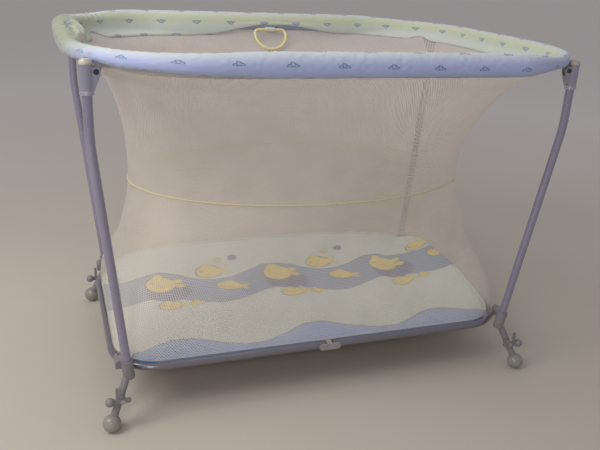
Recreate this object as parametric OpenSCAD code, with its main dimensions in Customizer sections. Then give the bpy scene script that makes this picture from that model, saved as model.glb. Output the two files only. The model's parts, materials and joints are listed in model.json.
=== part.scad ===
// Folding playpen: an oval padded top rail on four bent legs, a tubular base frame with a
// two-part padded floor, and a waisted net wall.
// Frame: +X to the right along the long side, +Y to the back, +Z up. The origin is on the floor
// at the centre of the footprint. Lengths are in millimetres.

/* [Top rail] */
// Half length of the rail centreline
rail_half_x = 514; // [480:1:540]
// Half width of the rail centreline
rail_half_y = 396; // [380:1:420]
// Corner radius of the rail centreline
rail_corner_r = 236; // [230:1:240]
// Height of the rail centreline
rail_z = 748; // [740:1:800]
// Outside diameter of the rail tube
rail_tube_d = 22; // [20:1:24]
// Outside diameter of the padded cover
cover_d = 42; // [38:1:44]

/* [Legs] */
// Distance of the upright part of a leg from the centre along X
leg_top_x = 494; // [490:1:500]
// Distance of the upright part of a leg from the centre along Y
leg_top_y = 306; // [304:1:310]
// Outside diameter of a leg tube
leg_d = 18; // [16:1:19]
// Distance from the top of the leg bend to the floor
bend_z = 632; // [600:1:650]
// Radius of the leg bend
bend_r = 450; // [300:10:600]

/* [Base frame] */
// Half length of the base tube centreline
base_half_x = 467; // [465:1:470]
// Half width of the base tube centreline
base_half_y = 260; // [258:1:262]
// Height of the base tube centreline
base_z = 108.6; // [106:0.2:112]
// Outside diameter of the base tube
base_d = 15; // [14:0.5:16]
// Corner radius of the base tube centreline
base_corner_r = 100; // [98:1:102]

/* [Net wall] */
// Height of the waist
waist_z = 440; // [420:5:460]
// Half length of the waist
waist_half_x = 400; // [390:1:420]
// Half width of the waist
waist_half_y = 254; // [245:1:256]

/* [Feet] */
// Diameter of a ball foot
ball_d = 37; // [35:0.5:38]
// Distance of a ball foot from the centre along X
ball_x = 481; // [478:1:484]
// Distance of a ball foot from the centre along Y
ball_y = 302; // [300:1:304]

/* [Hidden] */
$fn = 48;
fine = 720; // fragments of a full turn on the long shallow arcs

// Colours
cream = [0.93, 0.94, 0.84];
leg_grey = [0.62, 0.62, 0.72];
cast_grey = [0.60, 0.60, 0.63];
net_beige = [0.86, 0.80, 0.70];
piping_yellow = [0.93, 0.88, 0.62];
mat_green = [0.86, 0.92, 0.86];
steel = [0.75, 0.75, 0.76];
board_brown = [0.66, 0.55, 0.42];
ring_yellow = [0.95, 0.91, 0.68];

run_gap = 0.05;  // radial clearance of a pin that turns in a hole
face_gap = 0.3;  // clearance between flat faces that slide on each other
tube_wall = 1.5;

// Fold linkage: every arm has the same length and the same drop, so the frame stays square
arm_x = 432;
pivot_drop = 24;
rail_hub_x = 46;
base_hub_x = 18;
top_pivot_x = rail_hub_x + arm_x;
top_pivot_z = rail_z - pivot_drop;
foot_pivot_x = base_hub_x + arm_x;
foot_pivot_y = 238;
foot_pivot_z = base_z + pivot_drop;
pin_r = 3;
small_pin_r = 2.5;

// Rail plan: straight sides and ends joined by wide corner arcs
rail_corner_c = [rail_half_x - rail_corner_r, rail_half_y - rail_corner_r];

// Angles on the corner arc between which the rail is bare, around the bracket
bare_from = 27;
bare_to = 47;
rail_stub = 10;      // tube beyond its hub pin
hub_cover_x = 63;    // where the cover starts beside the hub

// Leg: upright, then one bend towards the foot
leg_foot_x = 441;
leg_foot_y = 269;
leg_foot_z = 109;
leg_turn = atan2(leg_foot_y - leg_top_y, leg_foot_x - leg_top_x);
leg_reach = norm([leg_foot_x - leg_top_x, leg_foot_y - leg_top_y]);
bend_half = 3.7; // half the angle of the bend, which sets where its two straight parts would meet
leg_lean = atan2(leg_reach, bend_z - bend_r * tan(bend_half) - leg_foot_z);
leg_top_z = 733;

// Bracket on top of a leg
bracket_r = 11.5;
bracket_z = 692;
bracket_top_z = 737;
wing_t = 14;
lug_t = 6;
wing_boss_r = 8;

// Foot bracket
strut_r = 8;
strut_top = [441, 266, 114];
ball_z = ball_d / 2 - 0.5;
lever_pivot = [458, 282, 66];
lever_y = 297;
lever_t = 5;

// Shaft of radius r from point p to point q
module rod(p, q, r) {
  v = q - p;
  translate(p)
    rotate([0, acos(v.z / norm(v)), atan2(v.y, v.x)])
      cylinder(r = r, h = norm(v));
}

// Cylinder along +Y that starts at p
module y_pin(p, r, h) {
  translate(p)
    rotate([-90, 0, 0])
      cylinder(r = r, h = h);
}

// Plate in the XZ plane from y0 to y1, drawn by the 2D children as (x, z)
module xz_plate(y0, y1) {
  translate([0, y1, 0])
    rotate([90, 0, 0])
      linear_extrude(y1 - y0)
        children();
}

// Sweep of the 2D children round the vertical axis through c
module arc(c, r, a0, a1, steps) {
  translate([c.x, c.y, 0])
    rotate([0, 0, a0])
      rotate_extrude(angle = a1 - a0, $fn = steps)
        translate([r, 0])
          children();
}

module disc(r) {
  circle(r = r, $fn = 48);
}

module ring_profile(outer, inner) {
  difference() {
    disc(outer);
    disc(inner);
  }
}

module both_sides_y() {
  children();
  mirror([0, 1, 0]) children();
}

// Places a piece that is drawn at +X +Y in its own corner
module corner_copy(sx, sy) {
  mirror([sx < 0 ? 1 : 0, 0, 0])
    mirror([0, sy < 0 ? 1 : 0, 0])
      children();
}

// ---- Top rail ----

// Half of the rail path, from x_from on the rear side round the end to x_from on the front side
module rail_path(x_from) {
  rail_end() children();
  both_sides_y() {
    arc(rail_corner_c, rail_corner_r, 0, 90, 144) children();
    rail_side(x_from) children();
  }
}

module rail_end() {
  translate([rail_half_x, -rail_corner_c.y, 0])
    rotate([-90, 0, 0])
      linear_extrude(2 * rail_corner_c.y)
        children();
}

module rail_side(x_from) {
  translate([x_from, rail_half_y, 0])
    rotate([0, 90, 0])
      linear_extrude(rail_corner_c.x - x_from)
        children();
}

module rail_tube(sx) {
  color(leg_grey)
    corner_copy(sx, 1)
      difference() {
        translate([0, 0, rail_z])
          rail_path(rail_hub_x - rail_stub)
            ring_profile(rail_tube_d / 2, rail_tube_d / 2 - tube_wall);
        translate([rail_hub_x, -rail_half_y - 20, rail_z])
          y_pin([0, 0, 0], pin_r + run_gap, 2 * rail_half_y + 40);
      }
}

module rail_lugs(sx) {
  color(cast_grey)
    corner_copy(sx, 1)
      both_sides_y()
        difference() {
          xz_plate(leg_top_y - lug_t / 2, leg_top_y + lug_t / 2)
            difference() {
              union() {
                translate([top_pivot_x, top_pivot_z]) circle(r = 7);
                polygon([[top_pivot_x - 7, top_pivot_z], [top_pivot_x + 6, top_pivot_z + 3],
                         [top_pivot_x - 7, rail_z], [top_pivot_x - 22, rail_z]]);
              }
              translate([top_pivot_x, top_pivot_z]) circle(r = pin_r + run_gap);
            }
          translate([0, 0, rail_z])
            arc(rail_corner_c, rail_corner_r, 0, 90, 144)
              disc(rail_tube_d / 2);
        }
}

module cover_profile() {
  ring_profile(cover_d / 2, rail_tube_d / 2 + 0.2);
}

module cover_end(sx) {
  color(cream)
    corner_copy(sx, 1)
      translate([0, 0, rail_z]) {
        rail_end() cover_profile();
        both_sides_y()
          arc(rail_corner_c, rail_corner_r, 0, bare_from, 144) cover_profile();
      }
}

module cover_side(sx, sy) {
  color(cream)
    corner_copy(sx, sy)
      translate([0, 0, rail_z]) {
        translate([rail_corner_c.x, rail_corner_c.y, 0])
          rotate([0, 0, 90])
            mirror([0, 1, 0])
              rotate_extrude(angle = 90 - bare_to, $fn = 144)
                translate([rail_corner_r, 0])
                  cover_profile();
        rail_side(hub_cover_x) cover_profile();
      }
}

// Casting in the middle of a long side that the two rail halves fold on
hub_cheek_out = 15.5;
hub_face_y = rail_half_y - hub_cheek_out;
module rail_hub(sy) {
  cheek_in = 12;
  cheek_out = hub_cheek_out;
  half_z = rail_tube_d / 2;
  color(cast_grey)
    corner_copy(1, sy)
      translate([0, rail_half_y, rail_z])
        difference() {
          union() {
            for (s = [-1, 1])
              xz_plate(s * cheek_out - (s > 0 ? cheek_out - cheek_in : 0),
                       s * cheek_out + (s > 0 ? 0 : cheek_out - cheek_in)) {
                square([2 * rail_hub_x, 2 * half_z], center = true);
                for (x = [-rail_hub_x, rail_hub_x])
                  translate([x, 0]) circle(r = half_z);
              }
            translate([-26, -cheek_in, -half_z]) cube([52, 2 * cheek_in, 2 * half_z]);
          }
          for (x = [-rail_hub_x, rail_hub_x])
            y_pin([x, -20, 0], pin_r, 40);
          cylinder(r = 5 + run_gap, h = 60, center = true);
        }
}

module rail_hub_pins() {
  color(steel)
    for (sx = [-1, 1], sy = [-1, 1])
      y_pin([sx * rail_hub_x, sy * rail_half_y - 17, rail_z], pin_r, 34);
}

// Spring button that frees the hub, pushed up from below
module rail_lock(sy) {
  color(piping_yellow)
    translate([0, sy * rail_half_y, rail_z]) {
      translate([0, 0, -18]) cylinder(r = 5, h = 24);
      translate([0, 0, -20]) cylinder(r = 8, h = 2.5);
    }
}

// ---- Pull ring on the rear rail ----
ring_x = 28;
ring_hinge = [ring_x, 368, 729];
ring_bar_r = 4;
ring_bow_r = 43;
ring_corner_r = 12;
ring_side = 14;      // depth of the straight sides below the hinge bar
ring_lean = 34;   // rest angle off the vertical, so the bow hangs clear of the net

module pull_ring() {
  flat = ring_bow_r - ring_corner_r;
  color(ring_yellow)
    translate(ring_hinge)
      rotate([-90 - ring_lean, 0, 0]) {
        rod([-flat, 0, 0], [flat, 0, 0], ring_bar_r);
        for (s = [0, 1])
          mirror([s, 0, 0]) {
            arc([flat, ring_corner_r], ring_corner_r, -90, 0, 96) disc(ring_bar_r);
            rod([ring_bow_r, ring_corner_r, 0], [ring_bow_r, ring_side, 0], ring_bar_r);
          }
        arc([0, ring_side], ring_bow_r, 0, 180, 96) disc(ring_bar_r);
      }
}

// Webbing that holds the ring to the rear hub
module ring_strap() {
  strap_w = 26;
  web_t = 2.2;
  loop_r = ring_bar_r + web_t;
  color(cream)
    difference() {
      union() {
        translate([ring_x - strap_w / 2, ring_hinge.y, ring_hinge.z])
          rotate([0, 90, 0]) cylinder(r = loop_r, h = strap_w);
        translate([ring_x - strap_w / 2, ring_hinge.y, ring_hinge.z + loop_r - web_t])
          cube([strap_w, hub_face_y - ring_hinge.y, web_t]);
        translate([ring_x - strap_w / 2, hub_face_y - web_t, ring_hinge.z + loop_r - web_t])
          cube([strap_w, web_t, 14]);
      }
      translate([ring_x - strap_w, ring_hinge.y, ring_hinge.z])
        rotate([0, 90, 0]) cylinder(r = ring_bar_r + 0.3, h = 2 * strap_w);
    }
}

// ---- Legs ----

// Leg path swept by the 2D children, from the foot up to the top
module leg_path() {
  foot_length = (bend_z - bend_r * sin(leg_lean) - leg_foot_z) / cos(leg_lean);
  translate([leg_top_x, leg_top_y, bend_z])
    rotate([0, 0, leg_turn]) {
      linear_extrude(leg_top_z - bend_z) children();
      translate([bend_r, 0, 0])
        rotate([90, 0, 0])
          rotate([0, 0, 180]) {
            rotate_extrude(angle = leg_lean, $fn = fine)
              translate([bend_r, 0])
                children();
            rotate([0, 0, leg_lean])
              translate([bend_r, 0, 0])
                rotate([-90, 0, 0])
                  linear_extrude(foot_length) children();
          }
    }
}

// Axis of the lower part of a leg, as a shaft from height z0 to z1
module leg_axis_rod(z0, z1, r) {
  bend_foot = bend_z - bend_r * sin(leg_lean);
  translate([leg_top_x, leg_top_y, 0])
    rotate([0, 0, leg_turn])
      translate([bend_r * (1 - cos(leg_lean)) + (bend_foot - z0) * tan(leg_lean), 0, z0])
        rotate([0, -leg_lean, 0])
          cylinder(r = r, h = (z1 - z0) / cos(leg_lean));
}

module leg_tube(sx, sy) {
  color(leg_grey)
    corner_copy(sx, sy)
      difference() {
        leg_path() disc(leg_d / 2);
        leg_path() disc(leg_d / 2 - tube_wall);
      }
}

module top_bracket(sx, sy) {
  slot = lug_t + 2 * face_gap;
  color(leg_grey)
    corner_copy(sx, sy)
      difference() {
        union() {
          translate([leg_top_x, leg_top_y, bracket_z])
            cylinder(r = bracket_r, h = bracket_top_z - bracket_z);
          translate([leg_top_x, leg_top_y, bracket_top_z])
            intersection() {
              sphere(r = bracket_r);
              cylinder(r = bracket_r, h = 7);
            }
          xz_plate(leg_top_y - wing_t / 2, leg_top_y + wing_t / 2) {
            translate([top_pivot_x, top_pivot_z]) circle(r = wing_boss_r);
            polygon([[leg_top_x, bracket_z], [leg_top_x - 12.5, bracket_z],
                     [top_pivot_x - wing_boss_r, top_pivot_z - 4],
                     [top_pivot_x, top_pivot_z + wing_boss_r],
                     [leg_top_x, top_pivot_z + wing_boss_r]]);
          }
        }
        translate([leg_top_x, leg_top_y, bracket_z - 1])
          cylinder(r = leg_d / 2, h = leg_top_z - bracket_z + 1);
        xz_plate(leg_top_y - slot / 2, leg_top_y + slot / 2)
          translate([top_pivot_x - 20, top_pivot_z - 11]) square([25, 30]);
        xz_plate(leg_top_y - slot / 2, leg_top_y + slot / 2)
          translate([top_pivot_x, top_pivot_z]) circle(r = wing_boss_r - 0.5);
        y_pin([top_pivot_x, leg_top_y - 20, top_pivot_z], pin_r, 40);
      }
}

module leg_collars(sx) {
  color(leg_grey)
    corner_copy(sx, 1)
      both_sides_y()
        difference() {
          union()
            for (z = [bracket_z - 7, bracket_z - 3.5])
              translate([leg_top_x, leg_top_y, z]) {
                cylinder(r = 12.5, h = 2.5);
                cylinder(r = 11.2, h = 3.5);
              }
          translate([leg_top_x, leg_top_y, bracket_z - 10])
            cylinder(r = leg_d / 2, h = 20);
        }
}

module headed_pin(p, r, length, head_r, head_h) {
  y_pin(p, r, length);
  y_pin([p.x, p.y - head_h, p.z], head_r, head_h);
  y_pin([p.x, p.y + length, p.z], head_r, head_h);
}

module top_rivets(sx) {
  color(steel)
    corner_copy(sx, 1)
      both_sides_y()
        headed_pin([top_pivot_x, leg_top_y - wing_t / 2, top_pivot_z], pin_r, wing_t, 4.8, 1.6);
}

// ---- Feet ----
ear_t = 4;
ear_y = foot_pivot_y - lug_t / 2 - face_gap - ear_t;

module foot_bracket(sx, sy) {
  slot = lug_t + 2 * face_gap;
  web_x = foot_pivot_x + 9.5;
  color(cast_grey)
    corner_copy(sx, sy)
      difference() {
        union() {
          xz_plate(ear_y, leg_foot_y - 6) {
            translate([foot_pivot_x, foot_pivot_z]) circle(r = 8);
            polygon([[foot_pivot_x - 6, foot_pivot_z - 14.5], [foot_pivot_x + 16, foot_pivot_z - 14.5],
                     [foot_pivot_x + 16, foot_pivot_z], [foot_pivot_x + 4, foot_pivot_z + 7],
                     [foot_pivot_x - 6, foot_pivot_z]]);
          }
          leg_axis_rod(100, 142, leg_d / 2 + 3);
          rod(strut_top, [ball_x, ball_y, ball_z], strut_r);
          y_pin(lever_pivot, 6.5, lever_y - face_gap - lever_pivot.y);
        }
        leg_axis_rod(leg_foot_z, 150, leg_d / 2);
        xz_plate(foot_pivot_y - slot / 2, foot_pivot_y + slot / 2)
          translate([foot_pivot_x - 40, foot_pivot_z - 30]) square([web_x - foot_pivot_x + 40, 50]);
        y_pin([foot_pivot_x, ear_y - 1, foot_pivot_z], pin_r, foot_pivot_y - ear_y + 12);
        y_pin([lever_pivot.x, lever_pivot.y + 3, lever_pivot.z], small_pin_r, 20);
        translate([ball_x, ball_y, ball_z]) sphere(r = ball_d / 2);
      }
}

module ball_foot(sx, sy) {
  color(cast_grey)
    corner_copy(sx, sy)
      difference() {
        translate([ball_x, ball_y, ball_z]) sphere(r = ball_d / 2);
        translate([ball_x - 20, ball_y - 20, -10]) cube([40, 40, 10]);
      }
}

module foot_rivets(sx) {
  grip = lug_t + 2 * face_gap + 2 * ear_t;
  color(steel)
    corner_copy(sx, 1)
      both_sides_y() {
        y_pin([foot_pivot_x, ear_y, foot_pivot_z], pin_r, grip);
        y_pin([foot_pivot_x, ear_y - 1.5, foot_pivot_z], 4.8, 1.5);
      }
}

// Lever on the outer face of a foot strut: an arm with a round knob and an upright thumb tab
module foot_lever(sx, sy) {
  knob_x = lever_pivot.x + 25;
  color(cast_grey)
    corner_copy(sx, sy)
      difference() {
        union() {
          xz_plate(lever_y, lever_y + lever_t) {
            translate([lever_pivot.x - 12, lever_pivot.z - 5]) square([35, 10]);
            translate([lever_pivot.x - 12, lever_pivot.z]) circle(r = 5);
            translate([lever_pivot.x, lever_pivot.z]) circle(r = 7.5);
            translate([lever_pivot.x + 7, lever_pivot.z]) square([6, 30]);
          }
          translate([knob_x, lever_y + 3, lever_pivot.z]) sphere(r = 9.5);
        }
        y_pin([lever_pivot.x, lever_y - 5, lever_pivot.z], small_pin_r + run_gap, 20);
      }
}

module lever_screws(sx) {
  color(steel)
    corner_copy(sx, 1)
      both_sides_y() {
        y_pin([lever_pivot.x, lever_pivot.y + 3, lever_pivot.z], small_pin_r,
              lever_y + lever_t + face_gap - lever_pivot.y - 3);
        y_pin([lever_pivot.x, lever_y + lever_t + face_gap, lever_pivot.z], 5, 2);
      }
}

// ---- Base frame and floor ----
base_corner_c = [base_half_x - base_corner_r, base_half_y - base_corner_r];
base_stub = 8;

module base_tube(sx) {
  r = base_d / 2;
  color(leg_grey)
    corner_copy(sx, 1)
      difference() {
        translate([0, 0, base_z])
          both_sides_y() {
            translate([base_hub_x - base_stub, base_half_y, 0])
              rotate([0, 90, 0])
                linear_extrude(base_corner_c.x - base_hub_x + base_stub)
                  ring_profile(r, r - tube_wall);
            arc(base_corner_c, base_corner_r, 0, 90, 144) ring_profile(r, r - tube_wall);
            translate([base_half_x, 0, 0])
              rotate([-90, 0, 0])
                linear_extrude(base_corner_c.y)
                  ring_profile(r, r - tube_wall);
          }
        y_pin([base_hub_x, -base_half_y - 20, base_z], small_pin_r + run_gap, 2 * base_half_y + 40);
      }
}

module base_lugs(sx) {
  tube_x = base_corner_c.x + sqrt(pow(base_corner_r, 2) - pow(foot_pivot_y - base_corner_c.y, 2));
  color(cast_grey)
    corner_copy(sx, 1)
      both_sides_y()
        difference() {
          xz_plate(foot_pivot_y - lug_t / 2, foot_pivot_y + lug_t / 2)
            difference() {
              union() {
                translate([foot_pivot_x, foot_pivot_z]) circle(r = 7.5);
                polygon([[foot_pivot_x - 7, foot_pivot_z + 2], [foot_pivot_x + 4, foot_pivot_z - 6],
                         [tube_x + 8, base_z + 2], [tube_x - 8, base_z + 4]]);
              }
              translate([foot_pivot_x, foot_pivot_z]) circle(r = pin_r + run_gap);
            }
          translate([0, 0, base_z])
            arc(base_corner_c, base_corner_r, 0, 90, 144) disc(base_d / 2);
        }
}

module base_hub(sy) {
  cheek_in = 8.2;
  cheek_out = 11.2;
  half_z = 7.5;
  color(cream)
    corner_copy(1, sy)
      translate([0, base_half_y, base_z])
        difference() {
          union() {
            for (y = [-cheek_out, cheek_in])
              xz_plate(y, y + cheek_out - cheek_in) {
                square([2 * base_hub_x, 2 * half_z], center = true);
                for (x = [-base_hub_x, base_hub_x])
                  translate([x, 0]) circle(r = half_z);
              }
            translate([-6, -cheek_in, -half_z]) cube([12, 2 * cheek_in, 2 * half_z]);
          }
          for (x = [-base_hub_x, base_hub_x])
            y_pin([x, -20, 0], small_pin_r, 40);
        }
}

module base_hub_pins() {
  color(steel)
    for (sx = [-1, 1], sy = [-1, 1])
      y_pin([sx * base_hub_x, sy * base_half_y - 12.2, base_z], small_pin_r, 24.4);
}

// Half of a plate with two round corners, from x = seam to the end
module half_panel(hx, hy, r, seam, t) {
  linear_extrude(t) {
    translate([seam, -hy]) square([hx - r - seam, 2 * hy]);
    translate([hx - r - 1, -hy + r]) square([r + 1, 2 * (hy - r)]);
    for (s = [-1, 1])
      translate([hx - r, s * (hy - r)]) circle(r = r, $fn = 144);
  }
}

panel_half_x = base_half_x - base_d / 2 - 3;
panel_half_y = base_half_y - 13; // clear of the pins of the base hubs
panel_corner_r = base_corner_r - base_d / 2;
board_z = base_z - 7;
board_t = 4;
mat_t = 13;

module floor_board(sx) {
  color(board_brown)
    corner_copy(sx, 1)
      translate([0, 0, board_z])
        half_panel(panel_half_x, panel_half_y, panel_corner_r, 1.5, board_t);
}

module mat(sx) {
  color(mat_green)
    corner_copy(sx, 1)
      translate([0, 0, board_z + board_t])
        half_panel(panel_half_x, panel_half_y, panel_corner_r, 1.5, mat_t);
}

// ---- Net wall ----
net_t = 2.4;
net_top_z = 726;
net_foot_z = 119.5;
net_top = [496, 384, 3.3];
net_waist = [waist_half_x, waist_half_y, 2.05];
net_foot = [base_half_x - 5, base_half_y - 5, 6];

// Half length, half width and squareness of the net at a height
function net_size(z) =
  z > waist_z
    ? let (s = (z - waist_z) / (net_top_z - waist_z))
      [mix(net_waist[0], net_top[0], pow(s, 2)), mix(net_waist[1], net_top[1], pow(s, 2)),
       mix(net_waist[2], net_top[2], pow(s, 1.5))]
    : let (s = (waist_z - z) / (waist_z - net_foot_z))
      [mix(net_waist[0], net_foot[0], pow(s, 1.3)), mix(net_waist[1], net_foot[1], pow(s, 1.3)),
       mix(net_waist[2], net_foot[2], pow(s, 1.5))];

function mix(a, b, s) = a + (b - a) * s;

// Point of a squared oval at polar angle f
function oval(hx, hy, n, f) =
  pow(pow(abs(cos(f)) / hx, n) + pow(abs(sin(f)) / hy, n), -1 / n) * [cos(f), sin(f)];

function net_point(z, f, off) =
  let (s = net_size(z), p = oval(s[0] + off, s[1] + off, s[2], f)) [p.x, p.y, z];

net_rows = 10;       // half of them below the waist
net_cols = 28;
net_span = 89.8;

function net_row_z(i) =
  2 * i < net_rows ? mix(net_foot_z, waist_z, 2 * i / net_rows)
                   : mix(waist_z, net_top_z, 2 * i / net_rows - 1);

// Closed shell between an outer and an inner grid of points
module net(sx) {
  m = net_cols + 1;
  k = (net_rows + 1) * m;
  points = [
    for (off = [net_t / 2, -net_t / 2], i = [0:net_rows], j = [0:net_cols])
      net_point(net_row_z(i), mix(-net_span, net_span, j / net_cols), off)
  ];
  faces = concat(
    [for (i = [0:net_rows - 1], j = [0:net_cols - 1], q = [
        [i * m + j, (i + 1) * m + j, (i + 1) * m + j + 1],
        [i * m + j, (i + 1) * m + j + 1, i * m + j + 1]]) q],
    [for (i = [0:net_rows - 1], j = [0:net_cols - 1], q = [
        [k + i * m + j, k + (i + 1) * m + j + 1, k + (i + 1) * m + j],
        [k + i * m + j, k + i * m + j + 1, k + (i + 1) * m + j + 1]]) q],
    [for (j = [0:net_cols - 1], q = [
        [j, j + 1, k + j + 1], [j, k + j + 1, k + j],
        [k - m + j, 2 * k - m + j + 1, k - m + j + 1],
        [k - m + j, 2 * k - m + j, 2 * k - m + j + 1]]) q],
    [for (i = [0:net_rows - 1], q = [
        [i * m, k + (i + 1) * m, (i + 1) * m], [i * m, k + i * m, k + (i + 1) * m],
        [(i + 1) * m - 1, (i + 2) * m - 1, k + (i + 2) * m - 1],
        [(i + 1) * m - 1, k + (i + 2) * m - 1, k + (i + 1) * m - 1]]) q]
  );
  color(net_beige)
    corner_copy(sx, 1)
      polyhedron(points, faces, convexity = 6);
}

// Thin rolled edge round the outside of the waist
module waist_piping(sx) {
  rings = net_cols;
  sides = 8;
  r = 2;
  points = [
    for (i = [0:rings])
      let (f = mix(-net_span, net_span, i / rings), p = net_point(waist_z, f, net_t / 2 + r + 0.3),
           a = net_point(waist_z, f - 0.5, 0), b = net_point(waist_z, f + 0.5, 0),
           t = (b - a) / norm(b - a), u = [t.y, -t.x, 0])
      for (j = [0:sides - 1])
        p + r * (cos(360 * j / sides) * u + sin(360 * j / sides) * [0, 0, 1])
  ];
  faces = concat(
    [for (i = [0:rings - 1], j = [0:sides - 1])
        [i * sides + j, (i + 1) * sides + j, (i + 1) * sides + (j + 1) % sides,
         i * sides + (j + 1) % sides]],
    [[for (j = [0:sides - 1]) j], [for (j = [sides - 1:-1:0]) rings * sides + j]]
  );
  color(piping_yellow)
    corner_copy(sx, 1)
      polyhedron(points, faces, convexity = 6);
}

rail_hub(-1);  // rail_hub_front
rail_hub(1);  // rail_hub_rear
rail_hub_pins();
ring_strap();
pull_ring();
rail_lock(-1);  // rail_lock_front
rail_lock(1);  // rail_lock_rear
rail_tube(-1);  // rail_tube_left
rail_tube(1);  // rail_tube_right
rail_lugs(-1);  // rail_lugs_left
rail_lugs(1);  // rail_lugs_right
cover_end(-1);  // cover_end_left
cover_end(1);  // cover_end_right
cover_side(-1, -1);  // cover_front_left
cover_side(1, -1);  // cover_front_right
cover_side(-1, 1);  // cover_rear_left
cover_side(1, 1);  // cover_rear_right
leg_tube(-1, -1);  // leg_front_left
leg_tube(1, -1);  // leg_front_right
leg_tube(-1, 1);  // leg_rear_left
leg_tube(1, 1);  // leg_rear_right
top_bracket(-1, -1);  // top_bracket_front_left
top_bracket(1, -1);  // top_bracket_front_right
top_bracket(-1, 1);  // top_bracket_rear_left
top_bracket(1, 1);  // top_bracket_rear_right
leg_collars(-1);  // leg_collars_left
leg_collars(1);  // leg_collars_right
top_rivets(-1);  // top_rivets_left
top_rivets(1);  // top_rivets_right
foot_bracket(-1, -1);  // foot_bracket_front_left
foot_bracket(1, -1);  // foot_bracket_front_right
foot_bracket(-1, 1);  // foot_bracket_rear_left
foot_bracket(1, 1);  // foot_bracket_rear_right
ball_foot(-1, -1);  // ball_foot_front_left
ball_foot(1, -1);  // ball_foot_front_right
ball_foot(-1, 1);  // ball_foot_rear_left
ball_foot(1, 1);  // ball_foot_rear_right
foot_rivets(-1);  // foot_rivets_left
foot_rivets(1);  // foot_rivets_right
lever_screws(-1);  // lever_screws_left
lever_screws(1);  // lever_screws_right
foot_lever(-1, -1);  // foot_lever_front_left
foot_lever(1, -1);  // foot_lever_front_right
foot_lever(-1, 1);  // foot_lever_rear_left
foot_lever(1, 1);  // foot_lever_rear_right
base_tube(-1);  // base_tube_left
base_tube(1);  // base_tube_right
base_lugs(-1);  // base_lugs_left
base_lugs(1);  // base_lugs_right
floor_board(-1);  // floor_board_left
floor_board(1);  // floor_board_right
mat(-1);  // mat_left
mat(1);  // mat_right
base_hub(-1);  // base_hub_front
base_hub(1);  // base_hub_rear
base_hub_pins();
net(-1);  // net_left
net(1);  // net_right
waist_piping(-1);  // waist_piping_left
waist_piping(1);  // waist_piping_right
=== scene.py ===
"""Looks of the folding playpen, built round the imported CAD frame. Lengths are in metres."""
import bpy
import json
import math
from mathutils import Matrix, Vector, noise


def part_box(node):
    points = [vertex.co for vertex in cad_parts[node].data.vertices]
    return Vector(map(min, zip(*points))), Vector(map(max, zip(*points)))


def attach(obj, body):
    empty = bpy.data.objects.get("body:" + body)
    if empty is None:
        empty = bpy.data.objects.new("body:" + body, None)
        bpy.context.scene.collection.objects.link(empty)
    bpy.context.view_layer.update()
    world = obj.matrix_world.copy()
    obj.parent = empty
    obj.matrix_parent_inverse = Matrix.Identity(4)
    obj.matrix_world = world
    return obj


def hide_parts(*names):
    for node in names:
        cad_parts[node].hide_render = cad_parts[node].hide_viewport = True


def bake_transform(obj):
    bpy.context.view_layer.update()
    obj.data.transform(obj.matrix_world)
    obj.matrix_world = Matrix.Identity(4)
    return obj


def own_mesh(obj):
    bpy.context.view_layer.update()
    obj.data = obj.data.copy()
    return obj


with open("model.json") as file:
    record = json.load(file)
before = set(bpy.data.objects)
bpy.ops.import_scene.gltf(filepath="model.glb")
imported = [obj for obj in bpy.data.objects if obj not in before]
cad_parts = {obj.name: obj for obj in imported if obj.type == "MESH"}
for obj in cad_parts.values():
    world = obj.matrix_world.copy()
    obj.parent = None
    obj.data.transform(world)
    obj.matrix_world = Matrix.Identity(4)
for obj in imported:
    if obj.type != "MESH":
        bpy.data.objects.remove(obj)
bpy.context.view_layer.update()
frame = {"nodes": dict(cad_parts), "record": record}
scene = bpy.context.scene

# ---- Sizes that the pieces share, as in the CAD ----
RAIL_X, RAIL_Y, RAIL_Z = 0.514, 0.396, 0.748   # rail centreline
RAIL_R = 0.236                                  # its corner radius
TUBE_R = 0.011
BRACKET = (0.494, 0.306, 0.748)                 # top of a leg
BRACKET_R = 0.0115
NET_TOP_Z, WAIST_Z, NET_FOOT_Z = 0.735, 0.440, 0.1195
BASE_X, BASE_Y, BASE_R = 0.467, 0.260, 0.100
MAT_X, MAT_Y, MAT_R = 0.4565, 0.2465, 0.0925
MAT_LOW, MAT_TOP = 0.1057, 0.1186
SIDES = {"left": -1, "right": 1}


def mix(a, b, t):
    return a + (b - a) * t


def smooth(a, b, x):
    """0 before a, 1 after b, and a soft step between."""
    t = min(1.0, max(0.0, (x - a) / (b - a)))
    return t * t * (3 - 2 * t)


def rounded_length(half_x, half_y, r):
    """Length of half a rounded rectangle, from the middle of its rear side to that of its front."""
    return 2 * (half_x - r) + math.pi * r + 2 * (half_y - r)


HALF_RAIL = rounded_length(RAIL_X, RAIL_Y, RAIL_R)


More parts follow.
